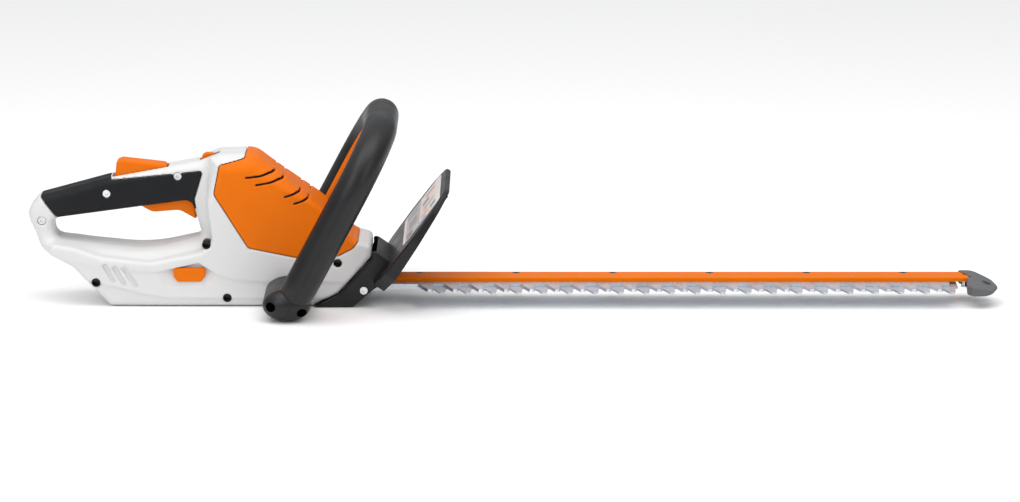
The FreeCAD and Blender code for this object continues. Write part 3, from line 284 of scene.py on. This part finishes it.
class Shader:
    """A principled material, with helpers to feed it from noise in object space."""

    def __init__(self, name, color, roughness, metallic=0.0):
        self.material = bpy.data.materials.new(name)
        self.material.use_nodes = True
        self.nodes = self.material.node_tree.nodes
        self.links = self.material.node_tree.links
        self.shader = self.nodes["Principled BSDF"]
        self.shader.inputs["Base Color"].default_value = (*color, 1)
        self.shader.inputs["Roughness"].default_value = roughness
        self.shader.inputs["Metallic"].default_value = metallic
        self.place = self.nodes.new("ShaderNodeTexCoord").outputs["Object"]
        self.bump_tail = None

    def scaled(self, scale):
        mapping = self.nodes.new("ShaderNodeMapping")
        mapping.inputs["Scale"].default_value = scale
        self.links.new(self.place, mapping.inputs["Vector"])
        return mapping.outputs["Vector"]

    def noise(self, scale, detail=3.0, stretch=None):
        made = self.nodes.new("ShaderNodeTexNoise")
        made.inputs["Scale"].default_value = scale
        made.inputs["Detail"].default_value = detail
        self.links.new(self.scaled(stretch) if stretch else self.place, made.inputs["Vector"])
        return made.outputs["Fac"]

    def cells(self, scale):
        made = self.nodes.new("ShaderNodeTexVoronoi")
        made.inputs["Scale"].default_value = scale
        self.links.new(self.place, made.inputs["Vector"])
        return made.outputs["Distance"]

    def ramp(self, value, stops):
        made = self.nodes.new("ShaderNodeValToRGB")
        elements = made.color_ramp.elements
        for index, (position, color) in enumerate(stops):
            element = elements[index] if index < 2 else elements.new(position)
            element.position = position
            element.color = (*color, 1)
        self.links.new(value, made.inputs["Fac"])
        return made.outputs["Color"]

    def ranged(self, value, low, high, from_low=0.3, from_high=0.7):
        made = self.nodes.new("ShaderNodeMapRange")
        made.inputs["From Min"].default_value = from_low
        made.inputs["From Max"].default_value = from_high
        made.inputs["To Min"].default_value = low
        made.inputs["To Max"].default_value = high
        self.links.new(value, made.inputs["Value"])
        return made.outputs["Result"]

    def color(self, output):
        self.links.new(output, self.shader.inputs["Base Color"])

    def roughness(self, output):
        self.links.new(output, self.shader.inputs["Roughness"])

    def bump(self, value, depth, strength=1.0):
        made = self.nodes.new("ShaderNodeBump")
        made.inputs["Distance"].default_value = depth * MM
        made.inputs["Strength"].default_value = strength
        self.links.new(value, made.inputs["Height"])
        if self.bump_tail is not None:
            self.links.new(self.bump_tail, made.inputs["Normal"])
        self.bump_tail = made.outputs["Normal"]
        self.links.new(self.bump_tail, self.shader.inputs["Normal"])


def shade(color, factor):
    return tuple(min(1.0, c * factor) for c in color)


def moulded_plastic(name, color, roughness, grain=0.03, grain_scale=1400.0, vary=0.05, shine=0.4):
    """Plastic with a spark-eroded grain, faint flow clouding and handling marks in its gloss."""
    s = Shader(name, color, roughness)
    clouds = s.noise(14.0, 4.0)
    s.color(s.ramp(clouds, [(0.3, shade(color, 1 - vary)), (0.7, shade(color, 1 + vary * 0.5))]))
    s.roughness(s.ranged(s.noise(60.0, 5.0), roughness - 0.05, roughness + 0.07))
    s.bump(s.noise(grain_scale, 2.0), grain)
    s.bump(s.noise(35.0, 2.0), 0.06, 0.5)
    s.shader.inputs["Specular IOR Level"].default_value = shine
    return s.material


def metal(name, color, roughness, brushed=(1, 1, 1), brush_scale=900.0, brush_depth=0.012, metallic=1.0):
    """Metal with fine brushing along one direction and a little tarnish."""
    s = Shader(name, color, roughness, metallic)
    tarnish = s.noise(45.0, 5.0)
    s.color(s.ramp(tarnish, [(0.3, shade(color, 0.82)), (0.7, shade(color, 1.08))]))
    lines = s.noise(brush_scale, 2.0, brushed)
    s.roughness(s.ranged(lines, roughness - 0.07, roughness + 0.1))
    s.bump(lines, brush_depth)
    return s.material


def rubber(name, color):
    """Soft grip with a fine pebble and a dusty sheen."""
    s = Shader(name, color, 0.55)
    s.shader.inputs["Specular IOR Level"].default_value = 0.22
    s.color(s.ramp(s.noise(20.0, 4.0), [(0.3, shade(color, 0.85)), (0.7, shade(color, 1.25))]))
    s.roughness(s.ranged(s.noise(80.0, 4.0), 0.46, 0.62))
    s.bump(s.cells(1100.0), 0.06)
    return s.material


white = moulded_plastic("white_shell", WHITE, 0.34, grain=0.02, vary=0.02, shine=0.45)
orange = moulded_plastic("orange_shell", ORANGE, 0.4, grain=0.02, vary=0.04, shine=0.1)
black = moulded_plastic("black_moulding", BLACK, 0.38, grain=0.05, grain_scale=1100.0, vary=0.15, shine=0.4)
grey = moulded_plastic("grey_moulding", GREY, 0.45, grain=0.05, vary=0.12)
guard_black = moulded_plastic("guard_moulding", BLACK, 0.36, grain=0.04, vary=0.15, shine=0.35)
grip = rubber("soft_grip", (0.006, 0.0065, 0.008))
rail_paint = moulded_plastic("rail_paint", ORANGE, 0.4, grain=0.04, grain_scale=500.0, vary=0.04, shine=0.06)
blade_steel = metal("blade_steel", STEEL, 0.34, brushed=(1, 0.05, 1), metallic=0.75)
bright_screw = metal("bright_zinc", (0.75, 0.76, 0.78), 0.28, brushed=(1, 1, 1), brush_scale=300.0)
dark_screw = metal("dark_zinc", (0.12, 0.12, 0.125), 0.4, brush_scale=300.0)
inner_steel = metal("machined_steel", (0.45, 0.46, 0.48), 0.3, brushed=(1, 0.1, 1))
alloy = metal("die_cast", (0.55, 0.55, 0.56), 0.5, brush_scale=200.0, brush_depth=0.05)
nylon = moulded_plastic("greased_nylon", (0.5, 0.47, 0.38), 0.3, vary=0.1)
laminate = moulded_plastic("board_laminate", (0.01, 0.09, 0.035), 0.35, vary=0.2, grain_scale=600.0)
cell_wrap = moulded_plastic("cell_wrap", (0.02, 0.22, 0.12), 0.25, vary=0.08)
led_green = moulded_plastic("led_lens", (0.05, 0.6, 0.12), 0.15, vary=0.05)


# blocks of the sticker: (across low, across high, height low, height high, colour), in millimetres
LABEL_BLOCKS = [
    (-60, 60, 62, 84, (0.45, 0.45, 0.46)), (-60, 60, 62, 66.5, (0.80, 0.79, 0.78)),
    (-52, -30, 68, 75, (0.13, 0.13, 0.14)), (-20, 12, 70, 80, (0.24, 0.24, 0.25)),
    (-46, -34, 77, 82, (0.62, 0.60, 0.60)), (24, 48, 67, 81, (0.30, 0.30, 0.31)),
    (-54, -47, 84, 93, (0.10, 0.17, 0.42)), (-44, -24, 86, 95, (0.80, 0.42, 0.40)),
    (-52, -46, 95, 102, (0.72, 0.50, 0.16)), (-44, -28, 97, 104, (0.16, 0.25, 0.55)),
    (-18, 0, 88, 102, (0.76, 0.52, 0.18)), (8, 24, 87, 95, (0.16, 0.25, 0.55)),
    (30, 46, 90, 102, (0.78, 0.38, 0.36)),
]


def label_film():
    """A plain generic sticker: pale film with blocks of colour, no letters or signs."""
    s = Shader("label_film", (0.86, 0.85, 0.84), 0.3)
    split = s.nodes.new("ShaderNodeSeparateXYZ")
    s.links.new(s.place, split.inputs["Vector"])
    tail = None
    for across_low, across_high, low, high, color in LABEL_BLOCKS:
        inside = []
        for output, start, end in (("Y", across_low, across_high), ("Z", low, high)):
            near = s.nodes.new("ShaderNodeMath")
            near.operation = "COMPARE"
            near.inputs[1].default_value = (start + end) / 2 * MM
            near.inputs[2].default_value = (end - start) / 2 * MM
            s.links.new(split.outputs[output], near.inputs[0])
            inside.append(near.outputs[0])
        both = s.nodes.new("ShaderNodeMath")
        both.operation = "MULTIPLY"
        s.links.new(inside[0], both.inputs[0])
        s.links.new(inside[1], both.inputs[1])
        mix = s.nodes.new("ShaderNodeMixRGB")
        mix.inputs["Color1"].default_value = (0.86, 0.85, 0.84, 1)
        mix.inputs["Color2"].default_value = (*color, 1)
        s.links.new(both.outputs[0], mix.inputs["Fac"])
        if tail is not None:
            s.links.new(tail, mix.inputs["Color1"])
        tail = mix.outputs["Color"]
    s.color(tail)
    s.bump(s.noise(300.0), 0.02)
    return s.material


label_paper = label_film()


def finish_node(name, material):
    """A CAD node keeps its shape and takes a material."""
    node = NODES[name]
    if not node.material_slots:
        node.data.materials.append(material)
    for entry in node.material_slots:
        entry.link = "OBJECT"
        entry.material = material


NODE_FINISHES = {
    black: ["loop_front_half", "loop_rear_half"],
    guard_black: ["hand_guard"],
    grey: ["tip_guard"],
    orange: ["motor_cover", "loop_switch_bail", "trigger", "lock_lever", "unlock_slide", "activation_key"],
    white: ["housing_shell_right", "housing_shell_left"],
    grip: ["grip_pad_right", "grip_pad_left"],
    rail_paint: ["blade_rail"],
    blade_steel: ["upper_blade", "lower_blade"],
    bright_screw: ["handle_screws", "guard_screws", "tip_screw", "blade_washers", "blade_nuts"],
    dark_screw: ["housing_screws", "loop_screws", "blade_bolts", "gearbox_screws"],
    inner_steel: [
        "trigger_pin", "lock_lever_pin", "trigger_spring", "lock_spring", "rotor", "motor_pinion",
        "motor_can", "lower_bearing", "upper_bearing", "crank_cams", "cell_links", "motor_magnets",
    ],
    alloy: ["gearbox_base", "gearbox_cover", "blade_bracket"],
    nylon: ["crank_gear"],
    laminate: ["battery_board", "control_board"],
    cell_wrap: ["battery_cells"],
    led_green: ["charge_led"],
    label_paper: ["guard_label"],
}
done = set()
for material, names in NODE_FINISHES.items():
    for name in names:
        finish_node(name, material)
        done.add(name)
for name in NODES:
    if name not in done:
        finish_node(name, guard_black)

# ---------------------------------------------------------------- housing

SEAM = 0.25  # half the gap between two mouldings
SHELL_STEP = 1.0
CREASE = [(-440, 30), (-389, 22.3), (-369, 17.7), (-346, 11.8), (-325.7, 9.1), (-275, 8.2), (-100, 7.9)]
SHELF = [
    (-440, 47), (-407.8, 44), (-374.4, 40.1), (-354.2, 35.2), (-335.4, 33.8), (-321, 37.1), (-297, 42.3),
    (-281.8, 32.7), (-267.4, 28.2), (-253, 26.7), (-232.7, 25.5), (-100, 25.0),
]


def round_hole(grid, x, z, radius):
    return np.sqrt((grid.x - x) ** 2 + (grid.z - z) ** 2) - radius


def side_opening(grid, gap, depth):
    """An opening from the middle plane out to its reach."""
    (x0, z0, x1, z1), reach = gap
    box = block(grid.x - (x0 + x1) / 2, (x1 - x0) / 2, grid.z - (z0 + z1) / 2, (z1 - z0) / 2)
    return np.maximum(box, depth - reach)


def tool_form(grid):
    """The outer form of the white and orange mouldings together, and the body's half width at each place."""
    housing = grid.side(HOUSING)
    crease = np.interp(grid.x, *zip(*CREASE)) - grid.z
    shelf = np.interp(grid.x, *zip(*SHELF)) - grid.z
    # the overhang is crisp beside the key and fades out along the body
    blunt = 1.2 + 7.0 * smooth_step(-330, -400, grid.x) + 3.0 * smooth_step(-284, -262, grid.x)
    half = BODY_HALF - 2.2 * smooth_step(70, 140, grid.z)
    half = half - 1.3 * smooth_step(0, blunt, shelf) - 1.7 * smooth_step(0, 1.0, crease)
    half = half - 0.08 * np.maximum(crease, 0)
    half = half - 4.5 * smooth_step(-372, -440, grid.x) - 2.0 * smooth_step(-170, -134, grid.x)
    edge = 5.0 + 13.0 * smooth_step(92, 136, grid.z)
    body = slab(np.maximum(housing, grid.side(BODY)), grid.y, half, edge)
    handle_half = GRIP_HALF + 9.0 * smooth_step(70, 46, grid.z)
    handle_side = np.maximum(np.maximum(housing, -grid.side(HANDLE_HOLE)), grid.x + 280.0)
    handle = slab(handle_side, grid.y, handle_half, 9.0)
    # the blend may not swell past the tool's own outline
    whole = slab(np.maximum(housing, -grid.side(HANDLE_HOLE)), grid.y, half, 5.0)
    return np.maximum(soft_union(body, handle, 7.0), whole), half


def hollow(outer, wall):
    return np.maximum(outer, -(outer + wall))


def shell_half(side):
    """One white half, side -1 for the near one; the halves meet at the middle plane."""
    reach = (-37.2, 0.6) if side < 0 else (-0.6, 37.2)
    grid = Grid((-463.0, reach[0], -2.4), (-131.0, reach[1], 148.0), SHELL_STEP)
    outer, half = tool_form(grid)
    depth = side * grid.y
    if side < 0:
        # a scoop, deepest under its roof and running out towards the bottom
        under_roof = np.clip((np.interp(grid.x, *zip(*SHELF)) - grid.z) / 21.0, 0, 1)
        deep = 4.6 * (1 - under_roof) * smooth_step(-337, -319, grid.x) * smooth_step(-280.5, -291, grid.x)
        scoop = np.maximum(grid.side(KEY_RECESS), half - deep - depth)
        outer = soft_cut(outer, scoop, 1.0)
    for line in RIBS:
        outer = soft_cut(outer, np.maximum(grid.near_line(line) - 2.0, half - 2.2 - depth), 0.5)
    white_part = hollow(outer, WALL)
    pad = np.maximum(grid.side(GRIP_PAD) - SEAM, -(outer + PAD_DEEP))
    white_part = np.maximum(white_part, -pad)
    under_pad = np.maximum(np.maximum(pad - 2.4, outer + PAD_DEEP), -(outer + PAD_DEEP + WALL))
    white_part = np.minimum(white_part, under_pad)
    white_part = soft_cut(white_part, grid.side(COVER) - SEAM, 0.8)
    # each screw has a post inside the wall, and on the near side a hole down to its head
    for places, post_start, hole_start in ((BODY_SCREWS, 17.0, 20.0), (HANDLE_SCREWS, 9.0, 12.0)):
        for x, z in places:
            post = np.maximum(round_hole(grid, x, z, 5.4), outer + 0.3)
            white_part = np.minimum(white_part, np.maximum(post, post_start - depth))
            if side < 0:
                hole = np.maximum(round_hole(grid, x, z, 4.1), hole_start - depth)
                white_part = soft_cut(white_part, hole, 0.9)
    for gap in (LEVER_GAP, TRIGGER_GAP, SLIDE_GAP, BLADE_GAP):
        white_part = soft_cut(white_part, side_opening(grid, gap, depth), 0.6)
    if side > 0:
        white_part = soft_cut(white_part, np.maximum(round_hole(grid, *SOCKET), 20 - depth), 0.6)
        white_part = soft_cut(white_part, np.maximum(round_hole(grid, *LAMP), 20 - depth), 0.4)
    else:
        key_hole = block(grid.x - KEY_STEM[0], 9.3, grid.z - KEY_STEM[1], 4.3)
        white_part = soft_cut(white_part, np.maximum(key_hole, 18 - depth), 0.5)
    white_part = np.maximum(white_part, 0.1 - depth)
    name = "right" if side < 0 else "left"
    moulded(f"white_shell_{name}", white_part, grid, white, "housing", [f"housing_shell_{name}"])
    pad_side = np.maximum(np.maximum(pad, outer), -(outer + 2.0))
    pad_side = np.maximum(pad_side, grid.side(GRIP_PAD) + SEAM)
    for gap in (LEVER_GAP, TRIGGER_GAP):
        pad_side = np.maximum(pad_side, -side_opening(grid, gap, depth))
    for x, z in HANDLE_SCREWS[1:] if side < 0 else []:
        pad_side = soft_cut(pad_side, round_hole(grid, x, z, 3.8), 0.3)
    pad_side = np.maximum(pad_side, 0.1 - depth)
    moulded(f"soft_grip_{name}", pad_side, grid, grip, "housing", [f"grip_pad_{name}"])


shell_half(-1)
shell_half(1)


def motor_cover():
    grid = Grid((-285.0, -37.2, 44.0), (-141.0, 37.2, 148.0), 0.85)
    outer, _ = tool_form(grid)
    cover = soft_cut(hollow(outer, WALL), -(grid.side(COVER) + SEAM), 0.8)
    for line in VENTS:
        slot = np.maximum(grid.near_line(line) - 0.95, 12.5 - np.abs(grid.y))
        cover = soft_cut(cover, slot, 0.5)
    moulded("orange_cover", cover, grid, orange, "housing", ["motor_cover"])
    # painted shade: a dark sheet just behind the cover's air slots, there only to make the slots look dark as
    # the shade inside them would
    behind = hollow(outer + WALL + 0.5, 0.9)
    behind = np.maximum(behind, np.maximum(94.0 - grid.z, np.abs(grid.x + 221.0) - 36.0))
    moulded("vent_painted_shade", behind, grid, guard_black, "housing")


motor_cover()


def side_grid(corners, reach, step):
    """A box of samples round a side outline between two places across the tool."""
    xs, zs = [c[0] for c in corners], [c[1] for c in corners]
    room = 2 * step
    low = (min(xs) - room, reach[0] - room, min(zs) - room)
    return Grid(low, (max(xs) + room, reach[1] + room, max(zs) + room), step)


def tube(name, places, outer_radius, inner_radius, start, end, finish, sides=24):
    """Short tubes across the near half, from start to end beside the middle plane."""
    turns = np.linspace(0, math.tau, sides, endpoint=False)
    ring = np.stack([np.cos(turns), np.sin(turns)], axis=1)
    section = [(outer_radius, start), (outer_radius, end), (inner_radius, end), (inner_radius, start)]
    vertices, faces = [], []
    for x, z in places:
        first = len(vertices)
        for radius, y in section:
            vertices += [(x + radius * c, -y, z + radius * s) for c, s in ring]
        for part in range(len(section)):
            one = first + part * sides
            two = first + (part + 1) % len(section) * sides
            for step in range(sides):
                after = (step + 1) % sides
                faces.append((one + step, one + after, two + after, two + step))
    piece = mesh_object(name, vertices, faces)
    piece.data.materials.append(finish)
    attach(piece, "housing")


# painted shade: dark liners in the near side's body screw holes, there only to make the holes look shaded
# inside
tube("body_screw_well_shade", BODY_SCREWS, 4.05, 3.3, 20.5, 32.2, guard_black)


def controls():
    """Trigger, lock-off lever and key: a side outline cut across the tool and rounded all round."""
    grid = side_grid(TRIGGER, (-7.5, 7.5), 0.6)
    field = slab(grid.side(TRIGGER), grid.y, 7.5, 3.0)
    moulded("finger_trigger", field, grid, orange, "trigger_body", ["trigger"])
    grid = side_grid(LEVER, (-9.0, 9.0), 0.6)
    field = slab(grid.side(LEVER), grid.y, 9.0, 2.6)
    for x in np.arange(-371.0, -352.0, 3.6):
        groove = np.sqrt((grid.x - x) ** 2 + (grid.z - 137.6 + 0.12 * (x + 371)) ** 2) - 1.3
        field = soft_cut(field, np.maximum(groove, np.abs(grid.y) - 6.0), 0.5)
    moulded("lock_off_lever", field, grid, orange, "lever_body", ["lock_lever"])
    grid = side_grid(KEY_HEAD, (-34.8, -21.5), 0.5)
    head = slab(grid.side(KEY_HEAD), grid.y + 32.55, 2.25, 1.5)
    stem_side = block(grid.x - KEY_STEM[0], 9.0, grid.z - KEY_STEM[1], 4.0)
    key = soft_union(head, slab(stem_side, grid.y + 27.0, 5.5, 0.8), 0.8)
    moulded("pull_key", key, grid, orange, "key_body", ["activation_key"])


controls()

# the tip guard from above: (x, y, corner radius)
TIP = [
    (422.5, 14, 1), (437, 13.6, 14), (453.5, 0, 18), (458.1, -18, 15), (450, -41.5, 14), (432, -42, 5),
    (427, -35, 4), (429, -6, 4),
]
TIP_EDGE = 2.2
HANG_HOLE = (447.0, -16.0, 4.0)  # x, y and radius
TIP_SCREW = (428.0, 0.0, 4.0)
SCREW_FLOOR = 12.8  # the screw head's seat ends here, the hanging hole goes right through


def tip_guard():
    """A grey nose, thick over the rail's end and thinning towards its tip and the near side."""
    grid = Grid((419.0, -44.0, 10.0), (460.5, 16.0, 26.5), 0.5)
    top = 24.9 - 6.2 * smooth_step(431, 459, grid.x) - 3.8 * smooth_step(6, -42, grid.y)
    floor_z = 11.5 + 1.5 * smooth_step(440, 459, grid.x)
    nose = slab(grid.plan(TIP), grid.z - (top + floor_z) / 2, (top - floor_z) / 2, TIP_EDGE)
    blade_slot = np.maximum(grid.x - 432.0, block(grid.y + 5.5, 19.0, grid.z - 16.65, 2.75))
    rail_slot = np.maximum(grid.x - 432.4, block(grid.y, 12.3, grid.z - 21.4, 2.4))
    nose = np.maximum(nose, -np.minimum(blade_slot, rail_slot))
    for (x, y, radius), highest in ((HANG_HOLE, math.inf), (TIP_SCREW, SCREW_FLOOR)):
        hole = np.sqrt((grid.x - x) ** 2 + (grid.y - y) ** 2) - radius
        nose = soft_cut(nose, np.maximum(hole, grid.z - highest), 0.4)
    moulded("tip_nose", nose, grid, grey, "housing", ["tip_guard"])


tip_guard()

# ---------------------------------------------------------------- stage, light and camera

FLOOR = 6.0  # metres from the middle to each side
floor_corners = [(-FLOOR, -FLOOR, 0), (FLOOR, -FLOOR, 0), (FLOOR, FLOOR, 0), (-FLOOR, FLOOR, 0)]
floor_mesh = bpy.data.meshes.new("floor")
floor_mesh.from_pydata(floor_corners, [], [(0, 1, 2, 3)])
floor = bpy.data.objects.new("floor", floor_mesh)
floor.location.z = -0.6 * MM
bpy.context.scene.collection.objects.link(floor)
floor_paint = bpy.data.materials.new("floor_paint")
floor_paint.use_nodes = True
paint = floor_paint.node_tree.nodes["Principled BSDF"]
paint.inputs["Base Color"].default_value = (0.93, 0.93, 0.93, 1)
paint.inputs["Roughness"].default_value = 0.9
floor_mesh.materials.append(floor_paint)


def studio_world():
    """A white dome, brighter overhead than at the horizon."""
    world = bpy.data.worlds.new("studio")
    world.use_nodes = True
    nodes, links = world.node_tree.nodes, world.node_tree.links
    sky = nodes["Background"]
    split = nodes.new("ShaderNodeSeparateXYZ")
    links.new(nodes.new("ShaderNodeTexCoord").outputs["Generated"], split.inputs["Vector"])
    ramp = nodes.new("ShaderNodeValToRGB")
    ramp.color_ramp.elements[0].color = (0.25, 0.255, 0.27, 1)
    ramp.color_ramp.elements[1].color = (0.92, 0.92, 0.92, 1)
    ramp.color_ramp.elements[1].position = 0.75
    links.new(split.outputs["Z"], ramp.inputs["Fac"])
    links.new(ramp.outputs["Color"], sky.inputs["Color"])
    sky.inputs["Strength"].default_value = 1.0
    bpy.context.scene.world = world


studio_world()
bpy.context.scene.view_settings.view_transform = "Standard"


def softbox(name, place, aim, size, power):
    light = bpy.data.lights.new(name, "AREA")
    light.shape = "RECTANGLE"
    light.size, light.size_y = size
    light.energy = power
    lamp = bpy.data.objects.new(name, light)
    lamp.location = place
    lamp.rotation_euler = (Vector(aim) - Vector(place)).to_track_quat("-Z", "Y").to_euler()
    bpy.context.scene.collection.objects.link(lamp)


softbox("overhead", (0.0, -0.45, 1.8), (0.0, 0.0, 0.0), (2.6, 1.2), 21)
softbox("near_left", (-1.2, -1.8, 1.2), (-0.15, 0.0, 0.05), (0.9, 1.4), 9.5)
softbox("near_right", (1.4, -1.6, 0.9), (0.0, 0.0, 0.05), (0.8, 1.0), 4.5)

TARGET = Vector((-3.8, 0.0, 46.3)) * MM
ELEVATION = math.radians(13.0)
DISTANCE = 4.05  # metres
camera_data = bpy.data.cameras.new("camera")
camera_data.sensor_width = 36.0
camera_data.lens = 150.7
camera_data.clip_start = 0.05
camera = bpy.data.objects.new("camera", camera_data)
camera.location = TARGET + DISTANCE * Vector((0, -math.cos(ELEVATION), math.sin(ELEVATION)))
camera.rotation_euler = Euler((math.pi / 2 - ELEVATION, 0, 0))
bpy.context.scene.collection.objects.link(camera)
bpy.context.scene.camera = camera
